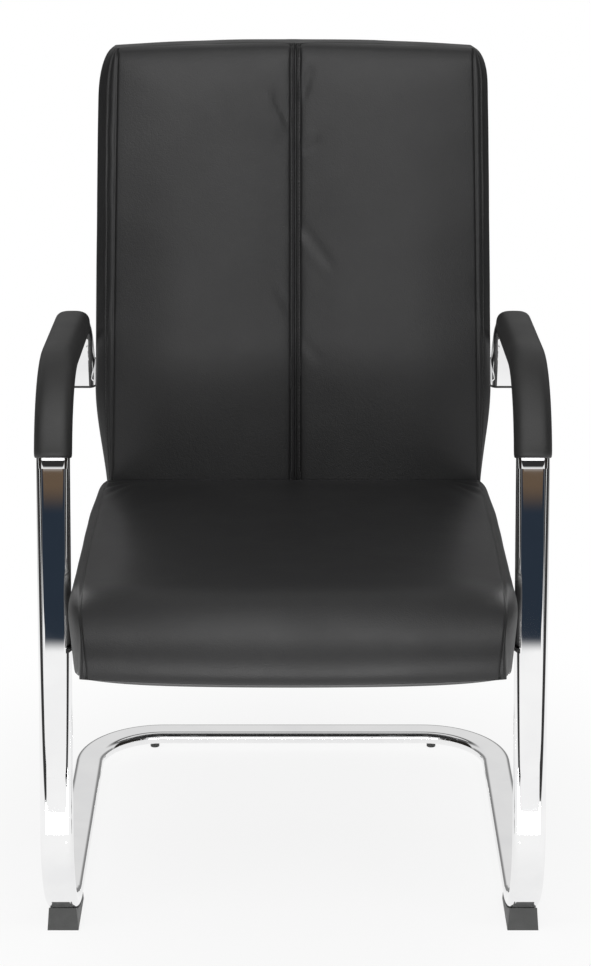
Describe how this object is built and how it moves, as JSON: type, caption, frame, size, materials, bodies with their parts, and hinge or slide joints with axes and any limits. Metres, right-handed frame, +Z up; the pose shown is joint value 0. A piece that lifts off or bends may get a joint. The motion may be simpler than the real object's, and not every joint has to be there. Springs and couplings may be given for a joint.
{
  "type": "cantilever conference chair",
  "caption": "Cantilever conference chair: bright flat-oval tube frame with padded arm sleeves, a boxed cushion seat and a tall, gently curved padded back with a centre seam.",
  "frame": {"origin": "on the floor under the middle of the chair's bounding box", "axes": "+Z up, -Y the way the sitter faces, +X towards the right-hand side seen from the front"},
  "size_m": [0.583, 0.685, 0.9635],
  "materials": {
    "chrome": "polished",
    "black_steel": "satin",
    "zinc_steel": "satin",
    "black_plastic": "matte",
    "black_rubber": "matte",
    "black_leather": "satin",
    "arm_leather": "matte",
    "foam": "matte",
    "plywood": "matte",
    "dust_cloth": "matte"
  },
  "bodies": {
    "root": {"left_side_tube": "chrome", "right_side_tube": "chrome", "base_tube": "chrome", "back_crossbar": "chrome", "left_seat_bracket": "black_steel", "right_seat_bracket": "black_steel", "left_back_bar": "black_steel", "right_back_bar": "black_steel", "left_runner_sleeve": "zinc_steel", "right_runner_sleeve": "zinc_steel", "front_foot_screws": "zinc_steel", "seat_bolts": "zinc_steel", "seat_tee_nuts": "zinc_steel", "back_bar_bolts": "zinc_steel", "back_bar_tee_nuts": "zinc_steel", "crossbar_bolts": "zinc_steel", "crossbar_tee_nuts": "zinc_steel", "crossbar_spacers": "zinc_steel", "left_front_foot": "black_plastic", "right_front_foot": "black_plastic", "left_rear_glide": "black_plastic", "right_rear_glide": "black_plastic", "left_tail_plug": "black_plastic", "right_tail_plug": "black_plastic", "crossbar_pads": "black_rubber", "seat_cover": "black_leather", "back_cover": "black_leather", "back_rear_panel": "black_leather", "left_arm_pad": "arm_leather", "right_arm_pad": "arm_leather", "seat_foam": "foam", "back_foam": "foam", "seat_board": "plywood", "back_board": "plywood", "seat_dust_cover": "dust_cloth"}
  },
  "joints": []
}
